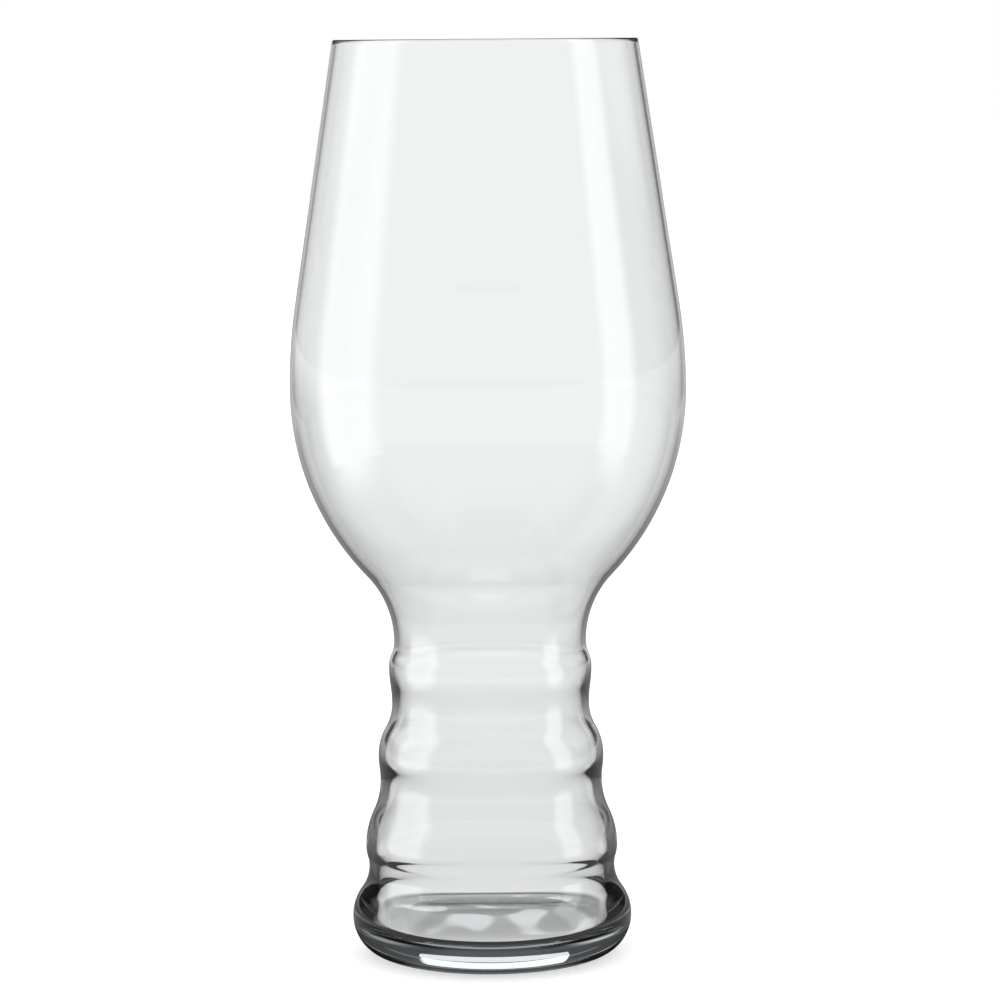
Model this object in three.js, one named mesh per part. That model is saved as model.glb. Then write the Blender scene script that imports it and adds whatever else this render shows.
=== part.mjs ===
// IPA beer glass: a thin blown bowl on a hollow ribbed stem and a thick foot, fused end to end.
// Millimetres, +Z up. The origin is on the table, under the middle of the foot.
import * as THREE from "three";

const HEIGHT = 184; // from the table to the top of the lip

// Foot, from the table up
const CONTACT_DIAMETER = 42.4; // outer edge of the flat ring that the glass stands on
const CONTACT_WIDTH = 3; // width of that ring
const PUNT_DEPTH = 1; // hollow under the foot, inside the ring
const FLOOR_THICKNESS = 6; // glass between the punt and the drink, in the middle
const FLOOR_CROWN = 0.6; // rise of the floor's middle over its edge
const FLOOR_CORNER = 2; // radius between the floor and the inner wall
const FOOT_DIAMETER = 56.4; // widest line of the foot
const FOOT_HEIGHT = 7.8; // widest line above the table
const FOOT_WALL = 3.8; // glass beside the drink, above the floor's corner
const FOOT_SHOULDER = 10.2; // rise from the widest line to the seam

// Hollow where the foot is fused to the stem
const SEAM_DIAMETER = 49.6;
const SEAM_WALL = 2.1;

// Ribs of the stem, lowest first: each flares from the hollow above it and tucks in below
const LOW_RIB_TUCK = 4; // rise from the hollow below to the crest
const LOW_RIB_DIAMETER = 50.8;
const LOW_RIB_WALL = 2;
const LOW_RIB_FLARE = 13.5; // rise from the crest to the hollow above
const LOW_HOLLOW_DIAMETER = 44.7;
const LOW_HOLLOW_WALL = 1.8;
const MIDDLE_RIB_TUCK = 5;
const MIDDLE_RIB_DIAMETER = 45.4;
const MIDDLE_RIB_WALL = 1.3;
const MIDDLE_RIB_FLARE = 10.5;
const HIGH_HOLLOW_DIAMETER = 39.7;
const HIGH_HOLLOW_WALL = 1.3;
const HIGH_RIB_TUCK = 7.5;
const HIGH_RIB_DIAMETER = 40.8;
const HIGH_RIB_WALL = 0.9;
const HIGH_RIB_FLARE = 5;

// Neck, where the bowl is fused to the stem
const NECK_DIAMETER = 38.6;
const NECK_WALL = 0.95;

// Bowl
const SHOULDER_RISE = 51; // from the neck to the widest line; the side makes up the height
const BELLY_DIAMETER = 79.2;
const BELLY_WALL = 0.9;
const SIDE_ARC_RADIUS = 115; // arc above the belly, before the straight side
const RIM_DIAMETER = 60.6; // outside of the lip
const RIM_WALL = 0.9; // the lip is rounded over this thickness

// Shape of each S-shaped stretch of wall: the share of its curve that belongs to the hollow
const RIB_HOLLOW_SHARE = 0.48;
const SEAM_HOLLOW_SHARE = 0.5;
const NECK_HOLLOW_SHARE = 0.27;

// Fineness of the solids
const FACETS_ROUND = 48;
const CHORD_ERROR = 0.07; // how far a facet's chord may lie inside its arc
const ARC_STEPS_LEAST = 2;

// Where the wall stands upright, from the foot to the belly: height, outer radius and wall there
const station = (height, diameter, wall) => ({ height, radius: diameter / 2, wall });
const foot = station(FOOT_HEIGHT, FOOT_DIAMETER, FOOT_WALL);
const seam = station(foot.height + FOOT_SHOULDER, SEAM_DIAMETER, SEAM_WALL);
const lowRib = station(seam.height + LOW_RIB_TUCK, LOW_RIB_DIAMETER, LOW_RIB_WALL);
const lowHollow = station(lowRib.height + LOW_RIB_FLARE, LOW_HOLLOW_DIAMETER, LOW_HOLLOW_WALL);
const middleRib = station(lowHollow.height + MIDDLE_RIB_TUCK, MIDDLE_RIB_DIAMETER, MIDDLE_RIB_WALL);
const highHollow = station(middleRib.height + MIDDLE_RIB_FLARE, HIGH_HOLLOW_DIAMETER, HIGH_HOLLOW_WALL);
const highRib = station(highHollow.height + HIGH_RIB_TUCK, HIGH_RIB_DIAMETER, HIGH_RIB_WALL);
const neck = station(highRib.height + HIGH_RIB_FLARE, NECK_DIAMETER, NECK_WALL);
const belly = station(neck.height + SHOULDER_RISE, BELLY_DIAMETER, BELLY_WALL);

// How many chords an arc of this radius needs to turn through an angle
function arcSteps(radius, turn) {
  const widest = 2 * Math.acos(Math.max(0, 1 - CHORD_ERROR / radius));
  return Math.max(ARC_STEPS_LEAST, Math.ceil(turn / widest));
}

// Points of one arc, x the distance from the glass's axis and y the height
function arc(centreX, centreY, radius, startAngle, endAngle) {
  const steps = arcSteps(radius, Math.abs(endAngle - startAngle));
  const curve = new THREE.EllipseCurve(
    centreX, centreY, radius, radius, startAngle, endAngle, endAngle < startAngle,
  );
  return curve.getPoints(steps);
}

// Points from the axis out to the edge of a shallow dome, whose edge lies at the given height
function dome(edgeRadius, edgeHeight, rise) {
  const sphere = (edgeRadius ** 2 + rise ** 2) / (2 * rise);
  const spread = Math.asin(edgeRadius / sphere);
  return arc(0, edgeHeight + rise - sphere, sphere, Math.PI / 2, Math.PI / 2 - spread);
}

// Points of a wall that rises from one upright tangent to the next by two arcs, each the other's
// tangent. lowerShare is the lower arc's share of the two radii.
function sCurve(lower, upper, lowerShare) {
  const rise = upper.y - lower.y;
  const run = upper.x - lower.x;
  if (run === 0) return [lower, upper];
  const radii = lower.distanceToSquared(upper) / (2 * Math.abs(run));
  const lean = 2 * Math.atan2(Math.abs(run), rise);
  const lowerRadius = radii * lowerShare;
  const upperRadius = radii - lowerRadius;
  if (run > 0) {
    return [
      ...arc(lower.x + lowerRadius, lower.y, lowerRadius, Math.PI, Math.PI - lean),
      ...arc(upper.x - upperRadius, upper.y, upperRadius, -lean, 0).slice(1),
    ];
  }
  return [
    ...arc(lower.x - lowerRadius, lower.y, lowerRadius, 0, lean),
    ...arc(upper.x + upperRadius, upper.y, upperRadius, Math.PI + lean, Math.PI).slice(1),
  ];
}

// Point of the wall's outer or inner face at a station
function facePoint({ height, radius, wall }, face) {
  return new THREE.Vector2(face === "inner" ? radius - wall : radius, height);
}

// Points of the wall's outer or inner face between two stations. On the inside the hollow's arc
// gains the wall's thickness and the crest's arc loses it, so the wall stays as thick on the slope.
function wallBetween(lower, upper, hollowShare, face) {
  const from = facePoint(lower, face);
  const to = facePoint(upper, face);
  let share = hollowShare;
  if (face === "inner" && to.x !== from.x) {
    const radii = from.distanceToSquared(to) / (2 * Math.abs(to.x - from.x));
    const gain = (lower.wall + upper.wall) / 2 / radii;
    share = Math.min(hollowShare + gain, (hollowShare + 1) / 2);
  }
  return sCurve(from, to, to.x > from.x ? share : 1 - share);
}

// Angle through which the belly's arc turns before the straight side that ends at a given point
function sideLean(start, arcRadius, end) {
  const reach = new THREE.Vector2(end.x - start.x + arcRadius, end.y - start.y);
  return Math.atan2(reach.y, reach.x) - Math.acos(Math.min(1, arcRadius / reach.length()));
}

// The belly's arc can be no larger than the one that reaches the rim with no straight side
function sideRadius(start, end) {
  const drop = start.x - end.x;
  if (drop <= 0) return SIDE_ARC_RADIUS;
  return Math.min(SIDE_ARC_RADIUS, start.distanceToSquared(end) / (2 * drop));
}

// Points of the bowl's side, from the belly to a point below the lip
function side(start, end) {
  const radius = sideRadius(start, end);
  return [...arc(start.x - radius, start.y, radius, 0, sideLean(start, radius, end)), end];
}

// Turns a closed outline, drawn anticlockwise with the axis on its left, into a solid of the glass
function turned(name, outline) {
  const material = new THREE.MeshStandardMaterial({
    color: 0xf1f4f4, roughness: 0.03, metalness: 0, transparent: true, opacity: 0.35,
  });
  const mesh = new THREE.Mesh(new THREE.LatheGeometry(outline, FACETS_ROUND), material);
  mesh.name = name;
  return mesh;
}

// Foot: punt, contact ring, tucked underside and shoulder outside; floor and its corner inside
function makeFoot() {
  const contactRadius = CONTACT_DIAMETER / 2;
  const puntRadius = contactRadius - CONTACT_WIDTH;
  const underside = new THREE.EllipseCurve(
    contactRadius, foot.height, foot.radius - contactRadius, foot.height, -Math.PI / 2, 0, false,
  );
  const undersideSteps = arcSteps(foot.height, Math.PI / 2);
  const floorEdge = PUNT_DEPTH + FLOOR_THICKNESS - FLOOR_CROWN;
  const corner = { height: floorEdge + FLOOR_CORNER, radius: foot.radius, wall: foot.wall };
  const cavityRadius = corner.radius - corner.wall;
  const floorRadius = cavityRadius - FLOOR_CORNER;
  const outline = [
    ...dome(puntRadius, 0, PUNT_DEPTH),
    ...underside.getPoints(undersideSteps),
    ...wallBetween(foot, seam, SEAM_HOLLOW_SHARE, "outer").slice(1),
    ...wallBetween(corner, seam, SEAM_HOLLOW_SHARE, "inner").reverse(),
    ...arc(floorRadius, corner.height, FLOOR_CORNER, 0, -Math.PI / 2).slice(1),
    ...dome(floorRadius, floorEdge, FLOOR_CROWN).reverse().slice(1),
  ];
  return turned("foot", outline);
}

// Stem: a hollow tube with three ribs, thicker towards the foot
function makeStem() {
  const stations = [seam, lowRib, lowHollow, middleRib, highHollow, highRib, neck];
  const ribbed = (face) => [
    facePoint(seam, face),
    ...stations.slice(1).flatMap((upper, i) =>
      wallBetween(stations[i], upper, RIB_HOLLOW_SHARE, face).slice(1),
    ),
  ];
  const outline = [...ribbed("outer"), ...ribbed("inner").reverse(), facePoint(seam, "outer")];
  return turned("stem", outline);
}

// Bowl: shoulder, belly and side, with a lip rounded over the wall's thickness
function makeBowl() {
  const shoulder = (face) => wallBetween(neck, belly, NECK_HOLLOW_SHARE, face);
  const corner = new THREE.Vector2(RIM_DIAMETER / 2, HEIGHT);
  const start = facePoint(belly, "outer");
  const lean = sideLean(start, sideRadius(start, corner), corner);
  const lipRadius = RIM_WALL / 2;
  const cutBack = (lipRadius * (1 - Math.sin(lean))) / Math.cos(lean);
  const outerEnd = new THREE.Vector2(
    corner.x + cutBack * Math.sin(lean), corner.y - cutBack * Math.cos(lean),
  );
  const lipCentre = new THREE.Vector2(
    outerEnd.x - lipRadius * Math.cos(lean), outerEnd.y - lipRadius * Math.sin(lean),
  );
  const lip = arc(lipCentre.x, lipCentre.y, lipRadius, lean, lean + Math.PI);
  const outline = [
    ...shoulder("outer"),
    ...side(start, outerEnd).slice(1, -1),
    ...lip,
    ...side(facePoint(belly, "inner"), lip.at(-1)).reverse().slice(1, -1),
    ...shoulder("inner").reverse(),
    facePoint(neck, "outer"),
  ];
  return turned("bowl", outline);
}

// LatheGeometry turns its outline about Y, so this group stands the glass up on Z
const standing = new THREE.Group();
standing.rotation.x = Math.PI / 2;
standing.add(makeFoot(), makeStem(), makeBowl());

const glass = new THREE.Group();
glass.add(standing);
export default glass;
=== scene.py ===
"""IPA beer glass in a plain white studio: one clear blown body on a pale floor."""

import math

import bpy
import numpy as np
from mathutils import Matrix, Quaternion, Vector


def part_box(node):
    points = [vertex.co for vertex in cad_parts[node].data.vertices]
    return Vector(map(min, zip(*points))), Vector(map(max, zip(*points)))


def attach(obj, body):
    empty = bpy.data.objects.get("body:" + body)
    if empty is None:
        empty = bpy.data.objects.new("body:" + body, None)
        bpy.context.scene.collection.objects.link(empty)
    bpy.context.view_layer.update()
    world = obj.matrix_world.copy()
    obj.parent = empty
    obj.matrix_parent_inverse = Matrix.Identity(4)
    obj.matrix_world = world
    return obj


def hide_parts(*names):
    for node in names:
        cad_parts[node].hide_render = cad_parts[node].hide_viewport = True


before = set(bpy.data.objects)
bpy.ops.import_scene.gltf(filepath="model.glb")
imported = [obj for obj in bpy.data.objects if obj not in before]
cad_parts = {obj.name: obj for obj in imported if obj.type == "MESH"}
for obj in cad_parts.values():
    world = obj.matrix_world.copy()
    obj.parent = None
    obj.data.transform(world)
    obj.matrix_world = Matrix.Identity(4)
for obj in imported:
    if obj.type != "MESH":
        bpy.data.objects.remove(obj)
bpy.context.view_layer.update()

MM = 0.001

# Sizes that the frame gives, in metres
FOOT_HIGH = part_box("foot")[1]
STEM_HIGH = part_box("stem")[1]
BOWL_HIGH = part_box("bowl")[1]
HEIGHT = BOWL_HIGH.z
FOOT_RADIUS = FOOT_HIGH.x
LOW_RIB_RADIUS = STEM_HIGH.x
BELLY_RADIUS = BOWL_HIGH.x
SEAM_HEIGHT = FOOT_HIGH.z
NECK_HEIGHT = STEM_HIGH.z

# Foot and floor of the hollow
CONTACT_RADIUS = 21.2 * MM
CONTACT_WIDTH = 3 * MM
PUNT_DEPTH = 1 * MM
FLOOR_THICKNESS = 6 * MM
FLOOR_CROWN = 0.6 * MM
FLOOR_CORNER = 2 * MM
FOOT_WIDEST = 7.8 * MM
FOOT_WALL = 3.8 * MM

# Height, outer radius and wall where the stem's wall stands upright, from the foot's seam up
STEM_TURNS = (
    (SEAM_HEIGHT, 24.8 * MM, 2.1 * MM),
    (22 * MM, LOW_RIB_RADIUS, 2 * MM),
    (35.5 * MM, 22.35 * MM, 1.8 * MM),
    (40.5 * MM, 22.7 * MM, 1.3 * MM),
    (51 * MM, 19.85 * MM, 1.3 * MM),
    (58.5 * MM, 20.4 * MM, 0.9 * MM),
    (NECK_HEIGHT, 19.3 * MM, 0.95 * MM),
)
BELLY_TURN = (114.5 * MM, BELLY_RADIUS, 0.9 * MM)
SIDE_ARC_RADIUS = 115 * MM
RIM_RADIUS = 30.3 * MM
RIM_WALL = 0.9 * MM

# Share of each S-shaped stretch that belongs to its hollow
RIB_HOLLOW_SHARE = 0.48
SEAM_HOLLOW_SHARE = 0.5
NECK_HOLLOW_SHARE = 0.27

# Finish of the glass: faint ripples that blowing leaves, and smears left by wiping
GLASS_INDEX = 1.52
RIPPLE_SCALE = 55
RIPPLE_DETAIL = 0
RIPPLE_DEPTH = 0.015 * MM
SMEAR_SCALE = 30
SMEAR_DETAIL = 2
SMEAR_PATCH = (0.5, 1)
SMEAR_ROUGHNESS = 0.006
GLASS_TINT = (0.993, 0.997, 1)
DEEP_TINT = (0.8, 0.93, 1)
DEEP_DENSITY = 7

# Fineness of the turned surface
ROUND_STEPS = 160
PROFILE_STEP = 0.8 * MM
ARC_STEPS_LEAST = 5
LINE_STEPS_LEAST = 2
UNDERSIDE_POINTS = 24

# Camera, from the photograph's outline: level with the rim, looking down at the middle
CAMERA_DISTANCE = 820 * MM
CAMERA_LENS = 148.06
CAMERA_PAN = math.radians(0.156)
CAMERA_ROLL = math.radians(-0.46)

# Levels in the studio: 1 is white. Pairs are a distance from the middle of the foot, in metres,
# and a level there; CARD_REFLECTED and FOOT_REFLECTED count the distance to the side only
LEVEL_REACH = 1.2
EVERY_WAY = (1, 1, 1)
SIDEWAYS = (1, 0, 0)

# White card behind the glass, in metres: over the table, widening, then upright
BACKDROP_DISTANCE = 1.2
BACKDROP_HALF_WIDTH = 0.497
BACKDROP_TOP = 0.27
CARD_START = 0.03
CARD_START_HALF_WIDTH = 0.03
CARD_SPREAD = math.radians(50)
CARD_SINK = 0.0002
# CARD_LEVELS hold painted shade: the card is darker near the glass and in a soft band about half a
# metre back
CARD_LEVELS = ((0.05, 0.87), (0.4, 0.92), (0.5, 0.87), (0.62, 0.94), (0.85, 0.965), (1.2, 0.97))
CARD_REFLECTED = ((0.07, 0.25), (0.2, 0.5))
CARD_MIRRORED = ((0.05, 0.06), (0.55, 0.26), (1.0, 0.6))

# Small card behind the foot, as bright all over, which makes the white window low in the foot
FOOT_CARD_DISTANCE = 0.1
FOOT_CARD_HALF_WIDTH = 0.0271
FOOT_CARD_SIDESTEP = -0.0014
FOOT_CARD_TOP = 0.022
FOOT_CARD_MIRRORED = ((0, 1.1), (1, 1.1))

# Table as the glass sees it, with painted shade under the foot and, for rays that glance off,
# painted shade where it stands. FOOT_REACH, FOOT_REFLECTED_REACH and CONTACT_REACH are shares, of
# the level under the foot, close round it and where it stands
TABLE_SINK = 0.0003
TABLE_DARK = 0.03
TABLE_STRAIGHT = 0.87
TABLE_REFLECTED = 0.34
TABLE_MIRRORED = ((0.1, TABLE_DARK), (0.2, TABLE_REFLECTED))
FOOT_REACH = ((0.026, 1), (0.034, 0))
# Painted shade on the table under the foot, lighter at the front and darker at the back
FOOT_SHADE_REACH = (-0.02, 0.016)
FOOT_SHADE = (0.75, 0.22)
FOOT_REFLECTED_REACH = ((0.036, 1), (0.05, 0))
FOOT_REFLECTED = ((0.012, 1), (0.019, 0.02))
# CONTACT_REACH marks painted shade where the foot stands, seen in rays that glance off the glass
CONTACT_REACH = ((0.0225, 1), (0.0255, 0))

# Painted pools of light on the table under the foot, standing in for the light that the thick foot
# gathers there
POOL_SCALE = 110
POOL_DETAIL = 0
POOL_EDGE = (0.51, 0.64)
POOL_LEVEL = 0.95
POOL_SHIFT = (0.005, 0, 0)
POOL_REACH = ((0.018, 1), (0.024, 0))

# Panels round the glass, each on its own ring so that no two touch
PANEL_RADIUS = 0.28
PANEL_GAP = 0.01
PANEL_TOP = 0.6
PANEL_STEPS = 32
PANEL_LOW = -0.05
BOUNCE_LOW = 0.08

# Name, degrees round from the backdrop's middle, lowest height, strength, and the shares of the
# panel's width and height that fade at each edge
SOFTBOXES = (
    ("left_softbox", (-122, -67), PANEL_LOW, 2.7, (0.25, 0.08)),
    ("right_softbox", (88, 119), PANEL_LOW, 2.7, (0.3, 0.08)),
)
FILLS = (
    ("left_bounce", (-84, -22), BOUNCE_LOW, 0.6, (0.3, 0.08)),
    ("right_bounce", (22, 90), BOUNCE_LOW, 0.28, (0.3, 0.08)),
    ("front_fill", (90, 270), PANEL_LOW, 0.28, (0.1, 0.002)),
)

# Painted glow of a softbox's light on the table: it grows from its start, and ends under the box at
# its brightest
GLOW_START = 0.14
GLOW_LIFT = 0.0001
GLOW_SHARE = 0.5
GLOW_SIDE_FADE = 0.45

# Floor that the camera sees, and the dark room round the glass
FLOOR_RADIUS = 4.0
FLOOR_SINK = 0.0001
FLOOR_COLOUR = 0.9
FLOOR_LIFT = 0.35
DISC_SIDES = 96
ROOM_DARK = 0.06
ROOM_WHITE = 1.0


def arc(centre, radius, start, end):
    """Points (r, z) of an arc: centre + radius * (cos a, sin a), a from start to end."""
    steps = max(ARC_STEPS_LEAST, math.ceil(radius * abs(end - start) / PROFILE_STEP))
    a = np.linspace(start, end, steps + 1)
    return np.stack([centre[0] + radius * np.cos(a), centre[1] + radius * np.sin(a)], 1)


def line(start, end):
    """Points (r, z) evenly spaced on a straight stretch."""
    steps = max(LINE_STEPS_LEAST, math.ceil(math.dist(start, end) / PROFILE_STEP))
    return np.linspace(start, end, steps + 1)


def s_curve(lower, upper, lower_share):
    """Two arcs, each tangent to the other and upright at its far end."""
    run = upper[0] - lower[0]
    rise = upper[1] - lower[1]
    sign = math.copysign(1, run)
    radii = (run**2 + rise**2) / (2 * abs(run))
    lean = 2 * math.atan2(abs(run), rise)
    low, high = radii * lower_share, radii * (1 - lower_share)
    turn = np.array([sign, 1.0])
    first = arc((-low, 0), low, 0, lean) * -turn * np.array([1, -1])
    last = arc((-high, 0), high, 0, lean)[::-1] * turn * np.array([1, -1])
    return np.concatenate([lower + first, upper + last[1:]])


def face(turn, inner):
    """Point of the wall's outer or inner face at a place where it stands upright."""
    height, radius, wall = turn
    return np.array([radius - wall if inner else radius, height])


def wall_between(lower, upper, hollow_share, inner):
    """S-curve of one face; inside, the hollow's arc gains the wall and the crest's loses it."""
    start, end = face(lower, inner), face(upper, inner)
    run, rise = end - start
    share = hollow_share
    if inner:
        radii = (run**2 + rise**2) / (2 * abs(run))
        gain = (lower[2] + upper[2]) / 2 / radii
        share = min(hollow_share + gain, (hollow_share + 1) / 2)
    return s_curve(start, end, share if run > 0 else 1 - share)


def side_lean(start, end):
    """Angle of the belly's arc, up to the straight side that is tangent to it and meets end."""
    reach = np.array([end[0] - start[0] + SIDE_ARC_RADIUS, end[1] - start[1]])
    return math.atan2(reach[1], reach[0]) - math.acos(SIDE_ARC_RADIUS / math.hypot(*reach))


def side(start, end):
    """The belly's arc, then the straight side."""
    bend = arc((start[0] - SIDE_ARC_RADIUS, start[1]), SIDE_ARC_RADIUS, 0, side_lean(start, end))
    return np.concatenate([bend, line(bend[-1], end)[1:]])


def dome(edge_radius, edge_height, rise):
    """Shallow cap of a sphere, from the axis out to its edge."""
    sphere = (edge_radius**2 + rise**2) / (2 * rise)
    spread = math.asin(edge_radius / sphere)
    return arc((0, edge_height + rise - sphere), sphere, math.pi / 2, math.pi / 2 - spread)


def underside():
    """Quarter of an ellipse from the ring the glass stands on out to the foot's widest place."""
    a = np.linspace(0, math.pi / 2, UNDERSIDE_POINTS)
    tuck = FOOT_RADIUS - CONTACT_RADIUS
    return np.stack([CONTACT_RADIUS + tuck * np.sin(a), FOOT_WIDEST * (1 - np.cos(a))], 1)


def joined(stretches):
    """One run of points from stretches that each start where the last one ends."""
    return np.concatenate([stretches[0]] + [stretch[1:] for stretch in stretches[1:]])


def stem_face(inner):
    """The stem's ribs, one S-curve after another."""
    pairs = zip(STEM_TURNS, STEM_TURNS[1:])
    return joined([wall_between(low, high, RIB_HOLLOW_SHARE, inner) for low, high in pairs])


def glass_profile():
    """Section (r, z) of the glass: under the foot, up the outside, over the lip, down inside."""
    foot_turn = (FOOT_WIDEST, FOOT_RADIUS, FOOT_WALL)
    floor_edge = PUNT_DEPTH + FLOOR_THICKNESS - FLOOR_CROWN
    corner_turn = (floor_edge + FLOOR_CORNER, FOOT_RADIUS, FOOT_WALL)
    floor_radius = FOOT_RADIUS - FOOT_WALL - FLOOR_CORNER
    punt_radius = CONTACT_RADIUS - CONTACT_WIDTH

    belly_out, belly_in = face(BELLY_TURN, False), face(BELLY_TURN, True)
    rim = np.array([RIM_RADIUS, HEIGHT])
    lean = side_lean(belly_out, rim)
    lip_radius = RIM_WALL / 2
    outward = np.array([math.cos(lean), math.sin(lean)])
    upward = np.array([-math.sin(lean), math.cos(lean)])
    outer_end = rim - upward * lip_radius * (1 - math.sin(lean)) / math.cos(lean)
    lip = arc(outer_end - outward * lip_radius, lip_radius, lean, lean + math.pi)

    neck_turn, seam_turn = STEM_TURNS[-1], STEM_TURNS[0]
    outside = [
        dome(punt_radius, 0, PUNT_DEPTH),
        line((punt_radius, 0), (CONTACT_RADIUS, 0)),
        underside(),
        wall_between(foot_turn, seam_turn, SEAM_HOLLOW_SHARE, False),
        stem_face(False),
        wall_between(neck_turn, BELLY_TURN, NECK_HOLLOW_SHARE, False),
        side(belly_out, outer_end),
        lip,
    ]
    inside = [
        side(belly_in, lip[-1])[::-1],
        wall_between(neck_turn, BELLY_TURN, NECK_HOLLOW_SHARE, True)[::-1],
        stem_face(True)[::-1],
        wall_between(corner_turn, seam_turn, SEAM_HOLLOW_SHARE, True)[::-1],
        arc((floor_radius, corner_turn[0]), FLOOR_CORNER, 0, -math.pi / 2),
        dome(floor_radius, floor_edge, FLOOR_CROWN)[::-1],
    ]
    return joined(outside + inside)


def turned_mesh(name, profile):
    """Surface of revolution: (r cos u, r sin u, z) on a grid of profile point and turn u."""
    ring = profile[1:-1]
    rows = len(ring)
    u = np.linspace(0, 2 * math.pi, ROUND_STEPS, endpoint=False)
    grid = np.stack(
        [
            ring[:, :1] * np.cos(u),
            ring[:, :1] * np.sin(u),
            np.repeat(ring[:, 1:], ROUND_STEPS, 1),
        ],
        -1,
    )
    poles = np.array([[0, 0, profile[0, 1]], [0, 0, profile[-1, 1]]])
    points = np.concatenate([grid.reshape(-1, 3), poles])
    here = np.arange(rows * ROUND_STEPS).reshape(rows, ROUND_STEPS)
    after = np.roll(here, -1, 1)
    quads = np.stack([here[:-1], after[:-1], after[1:], here[1:]], -1).reshape(-1, 4)
    bottom, top = rows * ROUND_STEPS, rows * ROUND_STEPS + 1
    low_fan = np.stack([np.full(ROUND_STEPS, bottom), after[0], here[0]], -1)
    high_fan = np.stack([np.full(ROUND_STEPS, top), here[-1], after[-1]], -1)
    mesh = bpy.data.meshes.new(name)
    faces = quads.tolist() + low_fan.tolist() + high_fan.tolist()
    mesh.from_pydata(points.tolist(), [], faces)
    mesh.shade_smooth()
    return mesh


def node_tree(owner):
    """Empty node tree of a material or a world."""
    owner.use_nodes = True
    owner.node_tree.nodes.clear()
    return owner.node_tree


def object_place(tree):
    """Where a point lies on its object, in metres."""
    return tree.nodes.new("ShaderNodeTexCoord").outputs["Object"]


def patches(tree, place, scale, detail):
    """Smooth random patches, from 0 to 1, each about 1 / scale metres across."""
    noise = tree.nodes.new("ShaderNodeTexNoise")
    noise.inputs["Scale"].default_value = scale
    noise.inputs["Detail"].default_value = detail
    tree.links.new(place, noise.inputs["Vector"])
    return noise.outputs["Fac"]


def remapped(tree, value, source, target=(0, 1), easing="LINEAR"):
    """Level that goes across target, from end to end, while the value goes across source."""
    ramp = tree.nodes.new("ShaderNodeMapRange")
    ramp.interpolation_type = easing
    tree.links.new(value, ramp.inputs["Value"])
    for name, level in zip(("From Min", "From Max", "To Min", "To Max"), source + target):
        ramp.inputs[name].default_value = level
    return ramp.outputs["Result"]


def product(tree, first, second):
    """Product of two levels."""
    node = tree.nodes.new("ShaderNodeMath")
    node.operation = "MULTIPLY"
    tree.links.new(first, node.inputs[0])
    tree.links.new(second, node.inputs[1])
    return node.outputs[0]


def clear_glass():
    """Clear soda-lime glass with faint ripples and smears, very slightly cool in the thick."""
    material = bpy.data.materials.new("clear_glass")
    tree = node_tree(material)
    shader = tree.nodes.new("ShaderNodeBsdfPrincipled")
    shader.inputs["Base Color"].default_value = (*GLASS_TINT, 1)
    shader.inputs["Transmission Weight"].default_value = 1
    shader.inputs["IOR"].default_value = GLASS_INDEX
    place = object_place(tree)

    ripple = patches(tree, place, RIPPLE_SCALE, RIPPLE_DETAIL)
    bump = tree.nodes.new("ShaderNodeBump")
    bump.inputs["Distance"].default_value = RIPPLE_DEPTH
    tree.links.new(ripple, bump.inputs["Height"])
    tree.links.new(bump.outputs["Normal"], shader.inputs["Normal"])

    smear = patches(tree, place, SMEAR_SCALE, SMEAR_DETAIL)
    rough = remapped(tree, smear, SMEAR_PATCH, (0, SMEAR_ROUGHNESS))
    tree.links.new(rough, shader.inputs["Roughness"])

    deep = tree.nodes.new("ShaderNodeVolumeAbsorption")
    deep.inputs["Color"].default_value = (*DEEP_TINT, 1)
    deep.inputs["Density"].default_value = DEEP_DENSITY
    out = tree.nodes.new("ShaderNodeOutputMaterial")
    tree.links.new(shader.outputs["BSDF"], out.inputs["Surface"])
    tree.links.new(deep.outputs["Volume"], out.inputs["Volume"])
    return material


def make_glass():
    """The whole glass as one smooth body, as blown glass has no seams."""
    glass = bpy.data.objects.new("glass_body", turned_mesh("glass_body", glass_profile()))
    bpy.context.scene.collection.objects.link(glass)
    glass.data.materials.append(clear_glass())
    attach(glass, "root")
    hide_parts("bowl", "stem", "foot")


def make_camera():
    """Camera aimed at the middle of the glass, then panned and rolled a little."""
    data = bpy.data.cameras.new("camera")
    data.lens = CAMERA_LENS
    camera = bpy.data.objects.new("camera", data)
    bpy.context.scene.collection.objects.link(camera)
    camera.location = (0, -CAMERA_DISTANCE, HEIGHT)
    aim = Vector((0, 0, HEIGHT / 2)) - camera.location
    turn = aim.to_track_quat("-Z", "Y")
    turn = Quaternion((0, 0, 1), -CAMERA_PAN) @ turn @ Quaternion((0, 0, 1), CAMERA_ROLL)
    camera.rotation_mode = "QUATERNION"
    camera.rotation_quaternion = turn
    bpy.context.scene.camera = camera
    return camera


def emission(name):
    """Material that only gives light, and the socket of its strength."""
    material = bpy.data.materials.new(name)
    tree = node_tree(material)
    light = tree.nodes.new("ShaderNodeEmission")
    out = tree.nodes.new("ShaderNodeOutputMaterial")
    tree.links.new(light.outputs["Emission"], out.inputs["Surface"])
    return material, light.inputs["Strength"]


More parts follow.
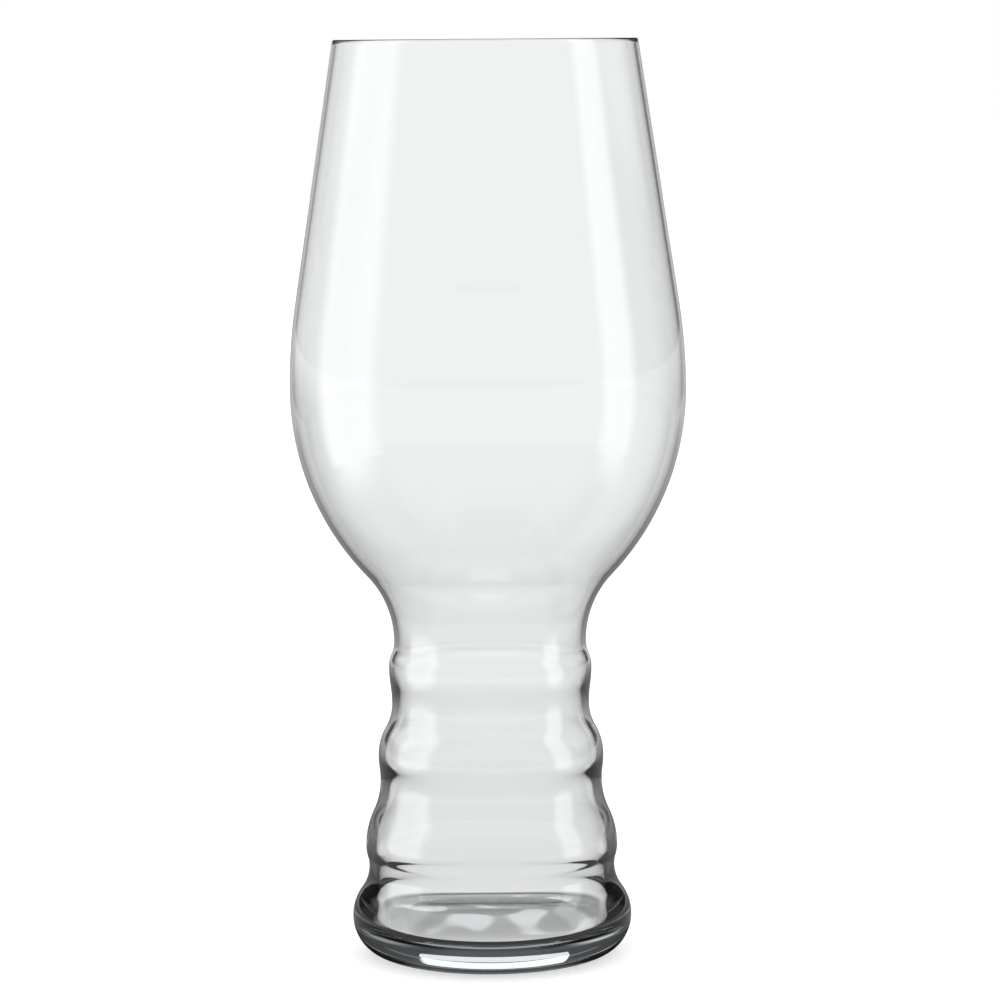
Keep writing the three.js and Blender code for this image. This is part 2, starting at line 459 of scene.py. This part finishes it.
def distance_level(tree, stops, along=EVERY_WAY):
    """Level by the distance from the middle of the foot, measured along some of the axes."""
    chosen = tree.nodes.new("ShaderNodeVectorMath")
    chosen.operation = "MULTIPLY"
    chosen.inputs[1].default_value = along
    tree.links.new(object_place(tree), chosen.inputs[0])
    distance = tree.nodes.new("ShaderNodeVectorMath")
    distance.operation = "LENGTH"
    tree.links.new(chosen.outputs["Vector"], distance.inputs[0])
    share = tree.nodes.new("ShaderNodeMath")
    share.operation = "DIVIDE"
    share.inputs[1].default_value = LEVEL_REACH
    tree.links.new(distance.outputs["Value"], share.inputs[0])
    ramp = tree.nodes.new("ShaderNodeValToRGB")
    ramp.color_ramp.interpolation = "EASE" if len(stops) > 2 else "LINEAR"
    for _ in stops[2:]:
        ramp.color_ramp.elements.new(1)
    for stop, (metres, level) in zip(ramp.color_ramp.elements, stops):
        stop.position = metres / LEVEL_REACH
        stop.color = (level, level, level, 1)
    tree.links.new(share.outputs[0], ramp.inputs["Fac"])
    return ramp.outputs["Color"]


def switched(tree, switch, off, on):
    """Level off where the switch is 0, level on where it is 1; each is a socket or a number."""
    mix = tree.nodes.new("ShaderNodeMix")
    tree.links.new(switch, mix.inputs[0])
    for socket, level in zip(mix.inputs[2:4], (off, on)):
        if isinstance(level, float):
            socket.default_value = level
        else:
            tree.links.new(level, socket)
    return mix.outputs[0]


def mirrored_inside(tree, path):
    """1 for a ray that was mirrored inside the glass before it left, else 0."""
    mirrored = product(tree, path.outputs["Glossy Depth"], path.outputs["Is Transmission Ray"])
    mirrored.node.use_clamp = True
    return mirrored


def card_light(name, mirrored):
    """Card with a level each for rays that pass the glass, glance off it or are mirrored in it."""
    material, strength = emission(name)
    tree = material.node_tree
    path = tree.nodes.new("ShaderNodeLightPath")
    # Painted shade: darker near the glass and in a band about half a metre back
    level = distance_level(tree, CARD_LEVELS)
    reflected = distance_level(tree, CARD_REFLECTED, SIDEWAYS)
    level = switched(tree, path.outputs["Is Reflection Ray"], level, reflected)
    level = switched(tree, mirrored_inside(tree, path), level, distance_level(tree, mirrored))
    tree.links.new(level, strength)
    return material


def painted_light_pools(tree):
    """Share of painted light in the pools on the table: patches with soft edges, near the axis
    only.
    """
    shift = tree.nodes.new("ShaderNodeVectorMath")
    shift.operation = "ADD"
    shift.inputs[1].default_value = POOL_SHIFT
    tree.links.new(object_place(tree), shift.inputs[0])
    patch = patches(tree, shift.outputs["Vector"], POOL_SCALE, POOL_DETAIL)
    pool = remapped(tree, patch, POOL_EDGE, easing="SMOOTHSTEP")
    return product(tree, pool, distance_level(tree, POOL_REACH))


def foot_shade(tree):
    """Painted shade of the table under the foot, lighter at its front than at its back."""
    apart = tree.nodes.new("ShaderNodeSeparateXYZ")
    tree.links.new(object_place(tree), apart.inputs["Vector"])
    return remapped(tree, apart.outputs["Y"], FOOT_SHADE_REACH, FOOT_SHADE)


def table_light(name):
    """White table with painted shade and painted pools of light under the foot; darker for rays
    that glance off or are mirrored in it, and darkest, as painted shade, where the foot stands.
    """
    material, strength = emission(name)
    tree = material.node_tree
    path = tree.nodes.new("ShaderNodeLightPath")
    # Painted shade under the foot with painted pools of light in it, then the pale table beyond
    level = switched(tree, painted_light_pools(tree), foot_shade(tree), POOL_LEVEL)
    level = switched(tree, distance_level(tree, FOOT_REACH), TABLE_STRAIGHT, level)

    close = distance_level(tree, FOOT_REFLECTED, SIDEWAYS)
    near_foot = distance_level(tree, FOOT_REFLECTED_REACH)
    reflected = switched(tree, near_foot, TABLE_REFLECTED, close)
    # Painted shade where the foot stands, for rays that glance off the glass
    reflected = switched(tree, distance_level(tree, CONTACT_REACH), reflected, TABLE_DARK)
    level = switched(tree, path.outputs["Is Reflection Ray"], level, reflected)

    mirrored = distance_level(tree, TABLE_MIRRORED)
    level = switched(tree, mirrored_inside(tree, path), level, mirrored)
    tree.links.new(level, strength)
    return material


def soft_light(name, strength, fade):
    """Light that fades to nothing towards the edges of its panel, by the panel's UV map."""
    material = bpy.data.materials.new(name)
    tree = node_tree(material)
    place = tree.nodes.new("ShaderNodeUVMap")
    apart = tree.nodes.new("ShaderNodeSeparateXYZ")
    tree.links.new(place.outputs["UV"], apart.inputs["Vector"])
    levels = []
    for axis, width in zip("XY", fade):
        edge_distance = tree.nodes.new("ShaderNodeMath")
        edge_distance.operation = "PINGPONG"
        edge_distance.inputs[1].default_value = 1 / 2
        tree.links.new(apart.outputs[axis], edge_distance.inputs[0])
        levels.append(remapped(tree, edge_distance.outputs[0], (0, width), easing="SMOOTHSTEP"))
    gain = tree.nodes.new("ShaderNodeMath")
    gain.operation = "MULTIPLY"
    gain.inputs[1].default_value = strength
    tree.links.new(product(tree, *levels), gain.inputs[0])
    light = tree.nodes.new("ShaderNodeEmission")
    tree.links.new(gain.outputs[0], light.inputs["Strength"])
    open_air = tree.nodes.new("ShaderNodeBsdfTransparent")
    both = tree.nodes.new("ShaderNodeAddShader")
    tree.links.new(light.outputs["Emission"], both.inputs[0])
    tree.links.new(open_air.outputs["BSDF"], both.inputs[1])
    out = tree.nodes.new("ShaderNodeOutputMaterial")
    tree.links.new(both.outputs["Shader"], out.inputs["Surface"])
    return material


def stage_mesh(name, points, faces, material, studio):
    """Mesh of the stage, which turns with the studio."""
    mesh = bpy.data.meshes.new(name)
    mesh.from_pydata(points, [], faces)
    mesh.materials.append(material)
    mesh.shade_smooth()
    obj = bpy.data.objects.new(name, mesh)
    bpy.context.scene.collection.objects.link(obj)
    obj.parent = studio
    return obj


def only_in_glass(obj):
    """The glass reflects and refracts it; the floor's light and the camera don't meet it."""
    obj.visible_camera = False
    obj.visible_diffuse = False
    obj.visible_shadow = False


def curved_panel(name, around, radii, heights, material, studio, share=1):
    """Part of a cone: (r sin a, r cos a, z), a by the share u across, r and z by the share v up."""
    u = np.linspace(0, 1, PANEL_STEPS + 1)
    v = np.array([0.0, share])
    uu, vv = np.meshgrid(u, v, indexing="ij")
    a = np.radians(around[0] + (around[1] - around[0]) * uu)
    r = radii[0] + (radii[1] - radii[0]) * vv
    z = heights[0] + (heights[1] - heights[0]) * vv
    points = np.stack([r * np.sin(a), r * np.cos(a), z], -1)
    first = np.arange(PANEL_STEPS) * 2
    faces = np.stack([first, first + 2, first + 3, first + 1], -1)
    panel = stage_mesh(name, points.reshape(-1, 3).tolist(), faces.tolist(), material, studio)
    uv = panel.data.uv_layers.new(name="UVMap")
    corner = faces.reshape(-1)
    flat = np.stack([uu.reshape(-1)[corner], vv.reshape(-1)[corner]], -1)
    uv.data.foreach_set("uv", flat.reshape(-1))
    only_in_glass(panel)
    return panel


def make_backdrop(studio):
    """White cards behind the glass: one over the table and upright, a small one behind the foot."""
    widen = (BACKDROP_HALF_WIDTH - CARD_START_HALF_WIDTH) / math.tan(CARD_SPREAD)
    half = np.array([
        [CARD_START_HALF_WIDTH, CARD_START, -CARD_SINK],
        [BACKDROP_HALF_WIDTH, CARD_START + widen, -CARD_SINK],
        [BACKDROP_HALF_WIDTH, BACKDROP_DISTANCE, -CARD_SINK],
        [BACKDROP_HALF_WIDTH, BACKDROP_DISTANCE, BACKDROP_TOP],
    ])
    points = np.concatenate([half, half * (-1, 1, 1)]).tolist()
    faces = [(0, 1, 5, 4), (1, 2, 6, 5), (2, 3, 7, 6)]
    white = card_light("backdrop_white", CARD_MIRRORED)
    card = stage_mesh("backdrop", points, faces, white, studio)
    card.data.shade_flat()
    only_in_glass(card)

    far, top = FOOT_CARD_DISTANCE, FOOT_CARD_TOP
    left = FOOT_CARD_SIDESTEP - FOOT_CARD_HALF_WIDTH
    right = FOOT_CARD_SIDESTEP + FOOT_CARD_HALF_WIDTH
    corners = [(left, far, 0), (right, far, 0), (right, far, top), (left, far, top)]
    white = card_light("foot_card_white", FOOT_CARD_MIRRORED)
    only_in_glass(stage_mesh("foot_card", corners, [(0, 1, 2, 3)], white, studio))


def disc(name, height, material, studio):
    """Flat round stage: (r cos a, r sin a, height) for a all the way round, with one face."""
    a = np.linspace(0, 2 * math.pi, DISC_SIDES, endpoint=False)
    points = np.stack([FLOOR_RADIUS * np.cos(a), FLOOR_RADIUS * np.sin(a), 0 * a + height], 1)
    return stage_mesh(name, points.tolist(), [tuple(range(DISC_SIDES))], material, studio)


def floor_pale():
    """Matt white with a little light of its own, so that only the shadow is grey."""
    material = bpy.data.materials.new("floor_pale")
    tree = node_tree(material)
    matt = tree.nodes.new("ShaderNodeBsdfDiffuse")
    matt.inputs["Color"].default_value = (FLOOR_COLOUR, FLOOR_COLOUR, FLOOR_COLOUR, 1)
    glow = tree.nodes.new("ShaderNodeEmission")
    glow.inputs["Strength"].default_value = FLOOR_LIFT
    both = tree.nodes.new("ShaderNodeAddShader")
    out = tree.nodes.new("ShaderNodeOutputMaterial")
    tree.links.new(matt.outputs["BSDF"], both.inputs[0])
    tree.links.new(glow.outputs["Emission"], both.inputs[1])
    tree.links.new(both.outputs["Shader"], out.inputs["Surface"])
    return material


def make_table_and_floor(studio):
    """Table that only the glass sees, and the floor that only the camera sees."""
    only_in_glass(disc("table", -TABLE_SINK, table_light("table_pale"), studio))
    floor = disc("floor", -FLOOR_SINK, floor_pale(), studio)
    floor.visible_glossy = False
    floor.visible_transmission = False


def make_painted_glow(name, around, radius, strength, studio):
    """Painted light of a softbox on the table, from near the glass out to the box."""
    light = soft_light(name, strength, (GLOW_SIDE_FADE, GLOW_SHARE))
    radii = (GLOW_START, GLOW_START + (radius - GLOW_START) / GLOW_SHARE)
    heights = (GLOW_LIFT, GLOW_LIFT)
    glow = curved_panel(name, around, radii, heights, light, studio, GLOW_SHARE)
    glow.visible_transmission = False


def make_panels(studio):
    """Softboxes, which the glass only reflects, each with a painted glow on the table, then the
    bounces and the fill.
    """
    for ring, (name, around, low, strength, fade) in enumerate(SOFTBOXES + FILLS):
        radius = PANEL_RADIUS + ring * PANEL_GAP
        light = soft_light(name, strength, fade)
        panel = curved_panel(name, around, (radius, radius), (low, PANEL_TOP), light, studio)
        if ring < len(SOFTBOXES):
            panel.visible_transmission = False
            make_painted_glow(name + "_glow", around, radius, strength, studio)


def make_studio(camera):
    """The stage, turned about the upright axis so that its backdrop is opposite the camera."""
    studio = bpy.data.objects.new("studio", None)
    bpy.context.scene.collection.objects.link(studio)
    follow = studio.constraints.new("LOCKED_TRACK")
    follow.target = camera
    follow.lock_axis = "LOCK_Z"
    follow.track_axis = "TRACK_NEGATIVE_Y"
    make_backdrop(studio)
    make_table_and_floor(studio)
    make_panels(studio)


def make_world():
    """Dark round the glass, white to the camera, and even daylight to the floor."""
    world = bpy.data.worlds.new("studio_world")
    tree = node_tree(world)
    path = tree.nodes.new("ShaderNodeLightPath")
    lit = tree.nodes.new("ShaderNodeMath")
    lit.operation = "MAXIMUM"
    lit.use_clamp = True
    tree.links.new(path.outputs["Is Camera Ray"], lit.inputs[0])
    tree.links.new(path.outputs["Diffuse Depth"], lit.inputs[1])
    light = tree.nodes.new("ShaderNodeBackground")
    light.inputs["Color"].default_value = (1, 1, 1, 1)
    level = switched(tree, lit.outputs[0], ROOM_DARK, ROOM_WHITE)
    tree.links.new(level, light.inputs["Strength"])
    out = tree.nodes.new("ShaderNodeOutputWorld")
    tree.links.new(light.outputs["Background"], out.inputs["Surface"])
    bpy.context.scene.world = world


make_glass()
make_studio(make_camera())
make_world()
bpy.context.scene.view_settings.view_transform = "Standard"
